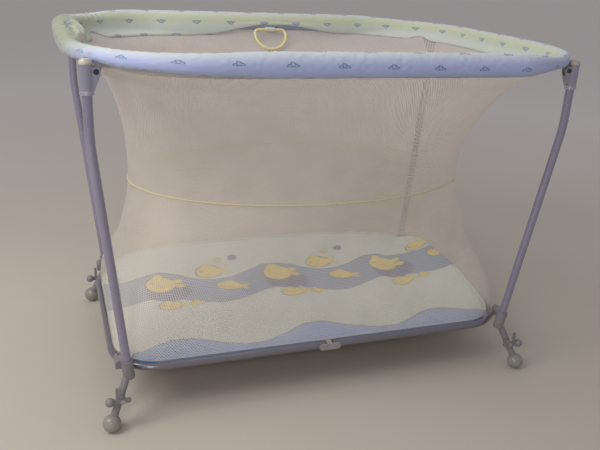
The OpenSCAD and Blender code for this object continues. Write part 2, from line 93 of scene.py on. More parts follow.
# ---- Shader helper ----
class Shader:
    """A material with a principled shader, and short calls for the nodes that feed it."""

    def __init__(self, name, color, rough=0.5, **sockets):
        self.material = bpy.data.materials.new(name)
        self.material.use_nodes = True
        self.tree = self.material.node_tree
        self.bsdf = self.tree.nodes["Principled BSDF"]
        self.bsdf.inputs["Base Color"].default_value = (*color, 1)
        self.bsdf.inputs["Roughness"].default_value = rough
        for key, value in sockets.items():
            self.bsdf.inputs[key.replace("_", " ")].default_value = value
        self.coords = self.tree.nodes.new("ShaderNodeTexCoord")

    def node(self, kind, inputs=(), **props):
        made = self.tree.nodes.new("ShaderNode" + kind)
        for key, value in props.items():
            setattr(made, key, value)
        for key, value in dict(inputs).items():
            self.feed(made.inputs[key], value)
        return made

    def feed(self, socket, value):
        if isinstance(value, bpy.types.NodeSocket):
            self.tree.links.new(value, socket)
        else:
            socket.default_value = value

    def math(self, operation, *values):
        made = self.tree.nodes.new("ShaderNodeMath")
        made.operation = operation
        for i, value in enumerate(values):
            self.feed(made.inputs[i], value)
        return made.outputs[0]

    def vector(self, operation, *values):
        made = self.tree.nodes.new("ShaderNodeVectorMath")
        made.operation = operation
        for i, value in enumerate(values):
            self.feed(made.inputs[i], value)
        return made.outputs["Value" if operation in ("LENGTH", "DOT_PRODUCT") else "Vector"]

    def uv(self):
        return self.coords.outputs["UV"]

    def split(self, vector):
        made = self.node("SeparateXYZ", {0: vector})
        return made.outputs[0], made.outputs[1], made.outputs[2]

    def noise(self, scale, detail=3, vector=None):
        where = self.coords.outputs["Object"] if vector is None else vector
        made = self.node("TexNoise", {"Vector": where, "Scale": scale, "Detail": detail})
        return made.outputs[0]

    def ramp(self, value, low, high, out_low=0.0, out_high=1.0):
        made = self.node("MapRange", {"Value": value, "From Min": low, "From Max": high,
                                      "To Min": out_low, "To Max": out_high})
        return made.outputs[0]

    def blend(self, factor, a, b):
        made = self.tree.nodes.new("ShaderNodeMix")
        made.data_type = "RGBA"
        self.feed(made.inputs[0], factor)
        for socket, value in ((made.inputs[6], a), (made.inputs[7], b)):
            self.feed(socket, value if isinstance(value, bpy.types.NodeSocket) else (*value, 1))
        return made.outputs[2]

    def color(self, value):
        self.feed(self.bsdf.inputs["Base Color"], value)

    def rough(self, value):
        self.feed(self.bsdf.inputs["Roughness"], value)

    def bump(self, height, distance, strength=1.0, after=None):
        made = self.node("Bump", {"Height": height, "Distance": distance, "Strength": strength})
        if after is not None:
            self.tree.links.new(after.outputs[0], made.inputs["Normal"])
        self.tree.links.new(made.outputs[0], self.bsdf.inputs["Normal"])
        return made

    def weave(self, uv, pitch):
        """Height of a plain weave, from 0 to 1, with threads pitch metres apart."""
        u, v, _ = self.split(uv)
        waves = [self.math("SINE", self.math("MULTIPLY", w, math.tau / pitch)) for w in (u, v)]
        return self.math("MULTIPLY_ADD", self.math("MULTIPLY", *waves), 0.5, 0.5)

    def disc(self, point, centre, size, turn=0.0):
        """Distance from an ellipse's centre in units of its half axes, so 1 is its edge."""
        moved = self.vector("SUBTRACT", point, (*centre, 0))
        if turn:
            made = self.node("VectorRotate", {"Vector": moved, "Angle": -turn}, rotation_type="Z_AXIS")
            moved = made.outputs[0]
        return self.vector("LENGTH", self.vector("MULTIPLY", moved, (1 / size[0], 1 / size[1], 0)))

    def nearest(self, distances):
        result = distances[0]
        for distance in distances[1:]:
            result = self.math("MINIMUM", result, distance)
        return result

    def repeat(self, value, pitch, start=0.0):
        """value folded into -pitch/2 .. pitch/2 round start, start + pitch and so on."""
        turns = self.math("ROUND", self.math("DIVIDE", self.math("SUBTRACT", value, start), pitch))
        return self.math("SUBTRACT", self.math("SUBTRACT", value, start),
                         self.math("MULTIPLY", turns, pitch))


# ---- Materials ----
def paint(name, color, rough=0.3):
    """Smooth metallic paint, a little uneven."""
    s = Shader(name, color, rough, Metallic=0.5, Coat_Weight=0.9, Coat_Roughness=0.09)
    cloud = s.noise(9, 4)
    dark, light = tuple(c * 0.97 for c in color), tuple(c * 1.03 for c in color)
    s.color(s.blend(s.ramp(cloud, 0.35, 0.7), dark, light))
    s.rough(s.ramp(s.noise(14, 3), 0.3, 0.75, rough - 0.02, rough + 0.03))
    return s.material


def moulded(name, color, rough=0.42, grain=700):
    s = Shader(name, color, rough)
    cloud = s.noise(22, 4)
    dark, light = tuple(c * 0.9 for c in color), tuple(c * 1.07 for c in color)
    s.color(s.blend(s.ramp(cloud, 0.35, 0.7), dark, light))
    s.rough(s.ramp(s.noise(90, 3), 0.3, 0.7, rough - 0.08, rough + 0.1))
    s.bump(s.noise(grain, 2), 0.0002, 0.4)
    return s.material


def steel_material():
    s = Shader("steel", (0.55, 0.55, 0.55), 0.3, Metallic=1.0)
    s.rough(s.ramp(s.noise(160, 4), 0.3, 0.7, 0.22, 0.45))
    s.color(s.blend(s.noise(30, 3), (0.42, 0.41, 0.4), (0.62, 0.62, 0.61)))
    s.bump(s.noise(900, 2), 0.0001, 0.3)
    return s.material


def board_material():
    s = Shader("board", (0.30, 0.19, 0.10), 0.75)
    fibres = s.noise(1, 6, s.vector("MULTIPLY", s.coords.outputs["Object"], (30.0, 260.0, 60.0)))
    s.color(s.blend(s.ramp(fibres, 0.3, 0.75), (0.20, 0.12, 0.065), (0.36, 0.24, 0.14)))
    s.bump(fibres, 0.0004, 0.5)
    return s.material


def fabric_base(name, color, pitch=0.0011, rough=0.82):
    """Woven cloth. Its UV map is in metres."""
    s = Shader(name, color, rough, Sheen_Weight=0.25, Sheen_Roughness=0.5)
    weave = s.weave(s.uv(), pitch)
    first = s.bump(s.noise(45, 3), 0.002, 0.22)
    s.bump(weave, 0.0003, 0.4, first)
    s.rough(s.ramp(weave, 0, 1, rough - 0.06, rough + 0.06))
    return s


PRINT_PITCH = 0.0924   # clouds along the rail
PRINT_ROW = 0.0335     # rows of clouds round the cover
PRINT_STEP = 0.0083    # how far each row is set along from the one before
ROLL_GIRTH = 0.0225    # radius that turns an angle round the roll into a length of cloth


def cover_material():
    """Pale cloth with small outlined clouds in staggered rows. UV: length along the rail, girth."""
    s = fabric_base("cover_cloth", (0.6, 0.66, 0.55))
    u, v, _ = s.split(s.uv())
    # painted shade: the lavender is the bluish shade on the lower outer face of the roll
    lower_painted_shade, pale = (0.43, 0.50, 0.79), (0.62, 0.67, 0.70)
    mint, flap = (0.58, 0.62, 0.46), (0.57, 0.62, 0.56)
    # painted shade: lavender low on the outer face, fading to pale higher up where the light falls
    ground = s.blend(s.ramp(v, 0.002, 0.027), lower_painted_shade, pale)
    # the left end of the cover is mint all over, and its outer and lower face is painted dark olive as
    # shade
    end_gap = s.math("ABSOLUTE", s.math("ADD", u, HALF_RAIL / 2))
    ground = s.blend(s.ramp(end_gap, 0.32, 0.18, 0.0, 0.9), ground, (0.29, 0.31, 0.19))
    ground = s.blend(s.ramp(v, 0.038, 0.058), ground, mint)
    ground = s.blend(s.ramp(v, 0.066, 0.084), ground, flap)
    # painted shade: the underside of the roll is darkened towards blue-grey
    ground = s.blend(s.ramp(v, -0.046, -0.008, 0.55, 0.0), ground, (0.24, 0.27, 0.40))
    # along the front the rows run down a little towards the right
    from_middle = s.math("SUBTRACT", HALF_RAIL, s.math("ABSOLUTE", u))
    x = s.math("MULTIPLY", from_middle, s.math("SIGN", u))
    drift = s.math("MULTIPLY", s.math("MULTIPLY_ADD", x, 0.0197, 0.0065), s.ramp(from_middle, 0.60, 0.45))
    v = s.math("ADD", v, drift)
    row = s.math("ROUND", s.math("DIVIDE", s.math("SUBTRACT", v, 0.006), PRINT_ROW))
    half = s.math("MULTIPLY", s.math("ROUND", s.math("DIVIDE", row, 2.0)), 2.0)
    odd = s.math("ABSOLUTE", s.math("SUBTRACT", row, half))
    shifted = s.math("MULTIPLY_ADD", row, PRINT_STEP, s.math("MULTIPLY_ADD", odd, PRINT_PITCH / 2, u))
    along = s.repeat(shifted, PRINT_PITCH, 0.0285)
    across = s.repeat(v, PRINT_ROW, 0.006)
    point = s.node("CombineXYZ", {0: along, 1: across}).outputs[0]
    puffs = [((0, 0.0004), (0.0062, 0.0042)), ((-0.0060, -0.0013), (0.0050, 0.0029)),
             ((0.0064, -0.0013), (0.0048, 0.0029)), ((0.0012, 0.0030), (0.0038, 0.0026))]
    cloud = s.nearest([s.disc(point, centre, size) for centre, size in puffs])
    inside = s.math("MULTIPLY", s.ramp(cloud, 1.06, 0.96), s.ramp(across, -0.0038, -0.0031))
    line = s.math("MULTIPLY", inside, s.ramp(cloud, 0.50, 0.68))
    ground = s.blend(s.math("MULTIPLY", inside, 0.6), ground, (0.27, 0.42, 0.53))
    ground = s.blend(s.math("MULTIPLY", line, 0.75), ground, (0.07, 0.10, 0.24))
    tone = s.ramp(s.noise(5, 3), 0.35, 0.65, 0.0, 0.10)
    s.color(s.blend(tone, ground, (0.36, 0.38, 0.34)))
    return s.material


WAVE = 0.313           # length of one repeat of the mat's print
WAVE_X = -0.003        # where the first figure of the middle repeat is


def mat_material():
    """Pale mint cloth with a wavy blue band, a blue wave along the front and plain yellow fish."""
    s = fabric_base("mat_cloth", (0.60, 0.66, 0.56), 0.0012)
    point = s.uv()
    u, v, _ = s.split(point)

    def wave(mean, height, start, length=WAVE):
        turn = s.math("MULTIPLY", s.math("SUBTRACT", u, start), math.tau / length)
        return s.math("MULTIPLY_ADD", s.math("COSINE", turn), height, mean)

    def between(low, high, edge=0.0012):
        above = s.ramp(s.math("SUBTRACT", v, low), -edge, edge)
        below = s.ramp(s.math("SUBTRACT", high, v), -edge, edge)
        return s.math("MULTIPLY", above, below)

    upper, lower = wave(0.147, 0.030, -0.010), wave(0.014, 0.026, -0.022)
    front = wave(-0.199, 0.030, 0.000, 0.318)
    band = between(lower, upper)
    tone = s.ramp(s.noise(7, 3, point), 0.35, 0.65)
    mint, band_blue = (0.67, 0.75, 0.69), (0.20, 0.33, 0.52)
    ground = s.blend(tone, tuple(c * 0.95 for c in mint), mint)
    ground = s.blend(band, ground, s.blend(tone, tuple(c * 0.86 for c in band_blue), band_blue))
    deep = s.ramp(s.math("SUBTRACT", front, v), 0.0, 0.05)
    wave_blue = s.blend(deep, (0.23, 0.39, 0.65), (0.16, 0.35, 0.76))
    ground = s.blend(s.ramp(s.math("SUBTRACT", front, v), -0.001, 0.001), ground, wave_blue)
    # painted highlight: the rim along the front is painted paler
    ground = s.blend(s.ramp(v, -0.2435, -0.2455), ground, (0.36, 0.45, 0.65))
    for edge_line, dark in ((upper, (0.10, 0.15, 0.26)), (lower, (0.12, 0.17, 0.28)),
                            (front, (0.10, 0.16, 0.32))):
        gap = s.math("ABSOLUTE", s.math("SUBTRACT", v, edge_line))
        ground = s.blend(s.ramp(gap, 0.0032, 0.0022, 0.0, 0.85), ground, dark)

    def cell(start):
        """Point in the repeat of the print that has its middle at start."""
        return s.node("CombineXYZ", {0: s.repeat(u, WAVE, start), 1: v}).outputs[0]

    yellow, orange, ink = (0.86, 0.68, 0.13), (0.74, 0.36, 0.12), (0.08, 0.06, 0.05)

    def fish(ground, where, spot, size, turn):
        """Round fish: body, two tail lobes and a fin with an outline, then a cheek and an eye."""
        def place(dx, dy):
            x, y = dx * size[0], dy * size[1]
            return (spot[0] + x * math.cos(turn) - y * math.sin(turn),
                    spot[1] + x * math.sin(turn) + y * math.cos(turn))

        def oval_at(dx, dy, a, b, tilt=0.0):
            return s.disc(where, place(dx, dy), (a * size[0], b * size[1]), turn + tilt)

        body = s.nearest([oval_at(0, 0, 1, 1), oval_at(1.16, 0.30, 0.40, 0.24, 0.6),
                          oval_at(1.16, -0.30, 0.40, 0.24, -0.6), oval_at(-0.05, 0.96, 0.36, 0.26)])
        ground = s.blend(s.ramp(body, 1.05, 1.0, 0.0, 0.9), ground, ink)
        ground = s.blend(s.ramp(body, 0.94, 0.89), ground, yellow)
        ground = s.blend(s.ramp(oval_at(-0.1, -0.25, 0.30, 0.24), 1.0, 0.6, 0.0, 0.75), ground, orange)
        return s.blend(s.ramp(oval_at(-0.52, 0.22, 0.10, 0.10), 1.1, 0.9), ground, ink)

    near = cell(WAVE_X)
    u = s.math("MAXIMUM", u, -0.385)
    far = cell(WAVE_X + WAVE / 2)
    shadow = s.disc(near, (0.012, 0.070), (0.058, 0.054))
    ground = s.blend(s.ramp(shadow, 1.03, 0.94, 0.0, 0.9), ground, (0.05, 0.08, 0.26))
    ground = fish(ground, near, (-0.002, 0.115), (0.040, 0.047), 0.0)
    ground = fish(ground, near, (0.005, -0.004), (0.031, 0.022), 0.12)
    ground = fish(ground, near, (0.068, -0.003), (0.014, 0.013), -0.10)
    ground = fish(ground, far, (-0.024, 0.162), (0.036, 0.030), 0.10)
    ground = fish(ground, far, (0.012, 0.074), (0.036, 0.024), -0.30)
    # a pale drop and a dark drop above each pair
    for spot, tint in (((0.008, 0.212), (0.56, 0.50, 0.30)), ((0.050, 0.218), (0.12, 0.16, 0.27))):
        ground = s.blend(s.ramp(s.disc(far, spot, (0.014, 0.011), 0.3), 1.05, 0.95), ground, tint)
    s.color(ground)
    return s.material


def net_material():
    """Knitted net: round holes on a staggered grid. UV is in metres."""
    s = Shader("net_knit", (0.74, 0.65, 0.56), 0.75, Sheen_Weight=0.2)
    pitch, radius = 0.0042, 0.00152
    cell = (pitch, pitch * math.sqrt(3), 1.0)
    grid = s.vector("DIVIDE", s.uv(), cell)
    holes = []
    for shift in (0.0, 0.5):
        part = s.vector("FRACTION", s.vector("ADD", grid, (shift, shift, 0)))
        near = s.vector("MULTIPLY", s.vector("SUBTRACT", part, (0.5, 0.5, 0)), (cell[0], cell[1], 0))
        holes.append(s.vector("LENGTH", near))
    hole = s.nearest(holes)
    solid = s.ramp(hole, radius * 0.9, radius * 1.1)
    s.feed(s.bsdf.inputs["Alpha"], solid)
    s.color(s.blend(s.ramp(s.noise(18, 3), 0.3, 0.7), (0.68, 0.595, 0.525), (0.76, 0.675, 0.60)))
    s.bump(s.ramp(hole, radius, pitch * 0.6), 0.0005, 0.6)
    s.material.surface_render_method = "DITHERED"
    return s.material


def piping_material(name, color):
    s = fabric_base(name, color, 0.0008, 0.7)
    u, _, _ = s.split(s.uv())
    ribs = s.math("SINE", s.math("MULTIPLY", u, math.tau / 0.0016))
    s.color(s.blend(s.ramp(ribs, -1, 1), tuple(c * 0.85 for c in color), color))
    return s.material


def floor_material():
    """Plain cloth, paler far from the playpen."""
    s = Shader("floor_cloth", (0.55, 0.50, 0.44), 0.9)
    near = s.blend(s.ramp(s.noise(1.2, 3), 0.3, 0.7), (0.52, 0.475, 0.415), (0.56, 0.515, 0.45))
    away = s.vector("LENGTH", s.coords.outputs["Object"])
    s.color(s.blend(s.ramp(away, 1.0, 3.5), near, (0.80, 0.765, 0.74)))
    s.bump(s.noise(5, 3), 0.006, 0.12)
    return s.material


leg_paint = paint("leg_paint", (0.30, 0.285, 0.40), 0.26)
bracket_paint = paint("bracket_paint", (0.36, 0.36, 0.45), 0.20)
collar_paint = paint("collar_paint", (0.50, 0.48, 0.56), 0.25)
base_paint = paint("base_paint", (0.19, 0.18, 0.215), 0.3)
cast = moulded("cast_grey", (0.23, 0.215, 0.23), 0.32)
foot_plastic = moulded("foot_grey", (0.30, 0.285, 0.26), 0.18, 500)
hub_plastic = moulded("hub_grey", (0.33, 0.31, 0.31), 0.38)
button_plastic = moulded("button_cream", (0.6, 0.55, 0.35), 0.35)
ring_plastic = moulded("ring_yellow", (0.76, 0.66, 0.36), 0.28, 500)
cap_plastic = moulded("cap_cream", (0.50, 0.46, 0.39), 0.35)
steel = steel_material()
# painted shade: near-black paint for the rivets, standing in for the shade inside their hollow heads
dark_steel = paint("dark_steel", (0.035, 0.033, 0.035), 0.25)
board = board_material()
cover_cloth = cover_material()
mat_cloth = mat_material()
net_knit = net_material()
waist_tape = piping_material("waist_tape", (0.70, 0.62, 0.36))
strap_cloth = piping_material("strap_cloth", (0.66, 0.64, 0.50))

FINISH = {
    "leg_paint": leg_paint, "base_paint": base_paint, "cast": cast, "foot_plastic": foot_plastic,
    "steel": steel, "hub_plastic": hub_plastic, "button_plastic": button_plastic,
    "ring_plastic": ring_plastic, "board": board, "cover_fabric": strap_cloth,
    "mat_fabric": mat_cloth, "net_fabric": net_knit, "piping": waist_tape,
}
slot_of = {p["node"]: p["material_slot"] for p in frame["record"]["subparts"]}
for node_name, cad_object in frame["nodes"].items():
    cad_object.data.materials.clear()
    finish = FINISH[slot_of[node_name]]
    # the rivets get the near-black painted shade of their hollow heads
    if node_name.startswith("top_rivets"):
        finish = dark_steel
    if node_name.startswith("leg_collars"):
        finish = collar_paint
    if node_name.startswith("top_bracket"):
        finish = bracket_paint
    cad_object.data.materials.append(finish)


# ---- Mesh helpers ----
SIM_FRAMES = 20


def add_mesh(name, points, faces, uvs, material):
    """Smooth mesh object. uvs holds one pair for each corner of each face."""
    data = bpy.data.meshes.new(name)
    data.from_pydata(points, [], faces)
    layer = data.uv_layers.new(name="UVMap")
    flat = [value for face in uvs for pair in face for value in pair]
    layer.data.foreach_set("uv", flat)
    data.shade_smooth()
    data.materials.append(material)
    obj = bpy.data.objects.new(name, data)
    scene.collection.objects.link(obj)
    return obj


def crisp_seam(obj, reach):
    """Sharp edges where a half meets the other half, so that no shading line shows there."""
    points = obj.data.vertices
    for edge in obj.data.edges:
        edge.use_edge_sharp = all(abs(points[k].co.x) < reach for k in edge.vertices)


def fill_with_air(obj, held, pressure, slack, cap):
    """Puffs a closed piece with the Cloth simulation. held gives each vertex a weight, where 1 keeps it
    still; slack is how much longer the cloth is than the piece, and no vertex moves further than cap."""
    group = obj.vertex_groups.new(name="held")
    for index, weight in enumerate(held):
        if weight > 0:
            group.add([index], weight, "REPLACE")
    cloth = obj.modifiers.new("cloth", "CLOTH")
    cloth.settings.quality = 6
    cloth.settings.use_pressure = True
    cloth.settings.uniform_pressure_force = pressure
    cloth.settings.shrink_min = -slack
    cloth.settings.effector_weights.gravity = 0
    cloth.settings.vertex_group_mass = "held"
    cloth.collision_settings.use_collision = False
    cloth.point_cache.frame_start = 1
    cloth.point_cache.frame_end = SIM_FRAMES
    for step in range(1, SIM_FRAMES + 1):
        scene.frame_set(step)
    graph = bpy.context.evaluated_depsgraph_get()
    settled = [v.co.copy() for v in obj.evaluated_get(graph).data.vertices]
    obj.modifiers.remove(cloth)
    obj.vertex_groups.remove(group)
    for vertex, place, weight in zip(obj.data.vertices, settled, held):
        move = place - vertex.co
        limit = cap * (1 - weight)
        if move.length > limit:
            move *= limit / move.length
        vertex.co += move
    obj.data.update()
    scene.frame_set(1)


def grid_faces(rows, cols, closed, uv_at, flip=False):
    """Quads over a grid of points, with the last column joined to the first where closed."""
    faces, uvs = [], []
    for i in range(rows - 1):
        for j in range(cols if closed else cols - 1):
            k = (j + 1) % cols
            face = [(i, j), (i, j + 1), (i + 1, j + 1), (i + 1, j)]
            index = [i * cols + j, i * cols + k, (i + 1) * cols + k, (i + 1) * cols + j]
            if flip:
                face.reverse()
                index.reverse()
            faces.append(index)
            uvs.append([uv_at(a, b) for a, b in face])
    return faces, uvs


def tube(name, path, radius, sides, material):
    """Round tube with flat ends along a list of points."""
    points, lengths = [], [0.0]
    for a, b in zip(path, path[1:]):
        lengths.append(lengths[-1] + (b - a).length)
    for i, p in enumerate(path):
        tangent = (path[min(i + 1, len(path) - 1)] - path[max(i - 1, 0)]).normalized()
        side = tangent.cross(Vector((0, 0, 1))).normalized()
        up = side.cross(tangent)
        for j in range(sides):
            a = math.tau * j / sides
            points.append(p + radius * (math.cos(a) * side + math.sin(a) * up))
    girth = math.tau * radius
    faces, uvs = grid_faces(len(path), sides, True, lambda i, j: (lengths[i], girth * j / sides))
    last = (len(path) - 1) * sides
    for ring in (list(range(sides))[::-1], list(range(last, last + sides))):
        faces.append(ring)
        uvs.append([(0.0, 0.0)] * sides)
    return add_mesh(name, [tuple(p) for p in points], faces, uvs, material)


def rounded(half_x, half_y, r, distance):
    """Point and outward normal on a rounded rectangle, distance along it from the middle of the
    rear side (0, half_y) towards +X, round the right end to the middle of the front side."""
    runs = [half_x - r, math.pi / 2 * r, 2 * (half_y - r), math.pi / 2 * r, half_x - r]
    cx, cy = half_x - r, half_y - r
    d = distance
    if d <= runs[0]:
        return Vector((d, half_y, 0)), Vector((0, 1, 0))
    d -= runs[0]
    if d <= runs[1]:
        n = Vector((math.sin(d / r), math.cos(d / r), 0))
        return Vector((cx, cy, 0)) + r * n, n
    d -= runs[1]
    if d <= runs[2]:
        return Vector((half_x, cy - d, 0)), Vector((1, 0, 0))
    d -= runs[2]
    if d <= runs[3]:
        n = Vector((math.cos(d / r), -math.sin(d / r), 0))
        return Vector((cx, -cy, 0)) + r * n, n
    d -= runs[3]
    return Vector((cx - d, -half_y, 0)), Vector((0, -1, 0))


def side_of(vector, sx):
    """Mirrors a point or a direction drawn for the right side onto side sx."""
    return Vector((vector.x * sx, vector.y, vector.z))


# ---- Net wall shape ----
NET_RIM_Z = 0.726                      # height at which the wall would reach its widest oval
NET_TO_RAIL = (0.685, 0.745)           # heights between which it turns out to the rail


def oval(half_x, half_y, n, f):
    c, s = abs(math.cos(f)), abs(math.sin(f))
    return ((c / half_x) ** n + (s / half_y) ** n) ** (-1 / n)


def rounded_radius(half_x, half_y, r, f):
    """Distance from the centre to a rounded rectangle at polar angle f."""
    c, s = abs(math.cos(f)), abs(math.sin(f))
    cx, cy = half_x - r, half_y - r
    if c * cy > s * half_x - 1e-12 and half_x * s / max(c, 1e-9) <= cy:
        return half_x / c
    if half_y * c / max(s, 1e-9) <= cx:
        return half_y / s
    dot = c * cx + s * cy
    return dot + math.sqrt(max(0.0, dot * dot - cx * cx - cy * cy + r * r))


def net_radius(z, f):
    """Distance from the centre line to the net at height z and polar angle f."""
    if z > WAIST_Z:
        s = (z - WAIST_Z) / (NET_RIM_Z - WAIST_Z)
        base = oval(mix(0.400, 0.482, s ** 2.7), mix(0.254, 0.384, s ** 2), mix(2.05, 3.3, s ** 1.5), f)
        at_rail = rounded_radius(RAIL_X - 0.012, RAIL_Y - 0.010, RAIL_R - 0.011, f)
        return mix(base, at_rail, smooth(*NET_TO_RAIL, z))
    s = (WAIST_Z - z) / (WAIST_Z - NET_FOOT_Z)
    base = oval(mix(0.400, 0.462, s ** 1.3), mix(0.254, 0.255, s ** 1.3), mix(2.05, 6.0, s ** 1.5), f)
    at_base = rounded_radius(BASE_X - 0.004, BASE_Y - 0.004, BASE_R - 0.004, f)
    return mix(base, at_base, smooth(0.42, 1.0, s))


# ---- Padded rail cover ----
COVER_STEP = 0.006
ROLL_POINTS = 46
TAIL_POINTS = 7


def angle_gap(distance, centre, width):
    """1 at centre, falling softly to 0 at width away."""
    return 1 - smooth(0, width, abs(distance - centre))


TO_BRACKET = (RAIL_X - RAIL_R) + RAIL_R * math.radians(90 - 37.1)
BRACKETS_AT = (TO_BRACKET, HALF_RAIL - TO_BRACKET)


# Radius of the roll beside each bracket, and the distances between which it grows to its full size
TAPER = {("left", 0): (0.0170, 0.025, 0.12), ("left", 1): (0.0145, 0.030, 0.34),
         ("right", 0): (0.0158, 0.050, 0.24), ("right", 1): (0.0135, 0.085, 0.21)}
LONG_ROLL, REAR_ROLL = 0.0222, 0.0230
END_ROLL = {"left": 0.0235, "right": 0.0155}


def between_brackets(d):
    """1 round the end of the rail, 0 along its long sides."""
    return smooth(-0.02, 0.05, d - BRACKETS_AT[0]) * smooth(-0.02, 0.05, BRACKETS_AT[1] - d)


def roll_radius(side, d):
    """Radius of the padded roll, distance d along its half of the rail from the rear middle."""
    long_roll = mix(REAR_ROLL, LONG_ROLL, smooth(0.2, 0.45, d))
    full = mix(long_roll, END_ROLL[side], between_brackets(d))
    r = full
    for i, at in enumerate(BRACKETS_AT):
        least, near, far = TAPER[side, i]
        r = min(r, mix(min(least, full), full, smooth(near, far, abs(d - at))))
    return r


def inner_puff(side, d):
    """How much wider the roll is towards the inside, which is only at the left end."""
    return 0.75 * angle_gap(d, HALF_RAIL / 2 - 0.05, 0.27) if side == "left" else 0.0


def tail_drop(sx, d):
    """How far the inner flap of the cover reaches below the rail's centre line."""
    p, _ = rounded(RAIL_X, RAIL_Y, RAIL_R, d)
    x = sx * p.x
    front = smooth(HALF_RAIL / 2, HALF_RAIL / 2 + 0.3, d)
    if sx < 0:
        rear = mix(0.036, 0.038, smooth(-0.25, -0.42, x))
    else:
        rear = mix(0.025, 0.030, smooth(0.2, 0.45, x))
    pulled = 1 - smooth(0.030, 0.19, abs(x - 0.048))
    rear = mix(mix(0.030, rear, smooth(0.05, 0.2, abs(x))), 0.007, pulled if p.y > 0 else 0)
    near = max(angle_gap(d, b, 0.05) for b in BRACKETS_AT)
    return mix(mix(rear, 0.026, front), 0.020, near * 0.8)


def wrinkle(sx, d, theta, p):
    """Height of the folds in the cover's cloth."""
    h = 0.0009 * (noise.noise(Vector((p.x * 13, p.y * 13, p.z * 26))) + 0.4 * noise.noise(p * 48))
    for i, b in enumerate(BRACKETS_AT):
        near = angle_gap(d, b, 0.085)
        h += near * 0.0015 * math.sin((d - b) * 330 + 2.0 * math.sin(theta + i) + 5 * noise.noise(p * 15))
    if sx < 0:
        # gathered cloth inside the rear corner, and a long crease over the puffed end
        bunch = angle_gap(d, BRACKETS_AT[0] + 0.01, 0.09) * smooth(0.3, 0.9, -math.cos(theta))
        h += bunch * 0.0034 * math.sin(d * 400 + 6 * noise.noise(p * 22))
        crease = math.exp(-((theta - 1.95 - 0.15 * math.sin(d * 22)) / 0.20) ** 2)
        h -= 0.0042 * crease * angle_gap(d, HALF_RAIL / 2, 0.22)
    return h


def keep_out(p, sx):
    """Moves a point of the cover out of the bracket on top of each leg, towards the rail."""
    for sy in (-1, 1):
        centre = Vector((sx * BRACKET[0], sy * BRACKET[1], 0))
        limit = BRACKET_R + 0.0016
        if p.z > BRACKET[2]:
            over = p.z - BRACKET[2]
            if over >= limit:
                continue
            limit = math.sqrt(limit * limit - over * over)
        flat = Vector((p.x, p.y, 0))
        gap = flat - centre
        if gap.length < limit:
            corner = Vector((sx * (RAIL_X - RAIL_R), sy * (RAIL_Y - RAIL_R), 0))
            inward = (corner - centre).normalized()
            along = gap.dot(inward)
            cross2 = max(0.0, gap.length_squared - along * along)
            need = math.sqrt(max(0.0, limit * limit - cross2))
            p = p + inward * (need - along)
    return p


def clear_of_tube(obj, sx, steps, cols):
    """Pushes the roll's points out of the rail tube."""
    least = TUBE_R + 0.0016
    for i in range(steps + 1):
        centre, _ = rounded(RAIL_X, RAIL_Y, RAIL_R, HALF_RAIL * i / steps)
        centre = side_of(centre, sx) + Vector((0, 0, RAIL_Z))
        for vertex in obj.data.vertices[i * cols:i * cols + ROLL_POINTS]:
            gap = vertex.co - centre
            if gap.length < least:
                vertex.co = centre + gap * (least / gap.length)


def cover_roll(side, d, centre, normal):
    """Points of the padded roll round the rail tube, with the length of cloth to each."""
    sx = SIDES[side]
    r = roll_radius(side, d)
    puff = 1 + inner_puff(side, d)
    near = max(angle_gap(d, b, 0.045) for b in BRACKETS_AT)
    row, girth = [], []
    for j in range(ROLL_POINTS):
        theta = mix(math.radians(-158), math.radians(180), j / (ROLL_POINTS - 1))
        # the cloth hugs the tube under the rail where the brackets join it
        under = smooth(0.05, 0.7, -math.sin(theta)) * near
        rr = mix(r, TUBE_R + 0.0012, under)
        across, up = math.cos(theta), math.sin(theta)
        wide = across * (puff if across < 0 else 1)
        p = centre + Vector((0, 0, RAIL_Z)) + rr * (wide * normal + Vector((0, 0, up)))
        fold = wrinkle(sx, d, theta, p) * (1 - under) * min(1.0, (rr - TUBE_R) / 0.009)
        p = p + fold * (across * normal + Vector((0, 0, up)))
        row.append(keep_out(p, sx))
        girth.append(theta * ROLL_GIRTH)
    return row, girth


def cover_flap(side, d, centre, normal):
    """Points of the inner flap, down its inner face and back up its outer face."""
    inner = centre - normal * roll_radius(side, d) * (1 + inner_puff(side, d))
    reach = Vector((inner.x, inner.y, 0)).length
    drop = tail_drop(SIDES[side], d)
    down = []
    for k in range(1, TAIL_POINTS + 1):
        t = k / TAIL_POINTS
        z = RAIL_Z - drop * t
        shift = 0.0
        if z < NET_TOP_Z:
            limit = net_radius(z, math.atan2(inner.y, inner.x)) - 0.004
            shift = max(0.0, reach - limit)
        ease = shift + 0.0015 * math.sin(math.pi * t)
        ease += 0.0018 * t * noise.noise(Vector((centre.x * 22, centre.y * 22, 3.0)))
        down.append((inner - normal * ease, z))
    row = [Vector((q.x, q.y, z)) for q, z in down]
    girth = [math.pi * ROLL_GIRTH + (RAIL_Z - z) for _, z in down]
    for k in range(TAIL_POINTS - 1, -1, -1):
        q, z = down[k]
        out = 0.0026 if k < TAIL_POINTS - 1 else 0.0012
        row.append(Vector((q.x, q.y, z)) + normal * out - Vector((0, 0, 0.0008 if k > 4 else 0)))
        girth.append(math.pi * ROLL_GIRTH + 2 * drop - (RAIL_Z - z))
    return row, girth


def cover_hold(sx, d):
    """How firmly the roll is held at distance d: by the other half, a bracket or a tight filling."""
    joined = 1 - smooth(0.0, 0.06, min(d, HALF_RAIL - d))
    gripped = max(angle_gap(d, b, 0.06) for b in BRACKETS_AT)
    tight = 0.65 if sx > 0 else 0.65 - 0.55 * angle_gap(d, HALF_RAIL / 2, 0.45)
    return max(joined, gripped, tight)


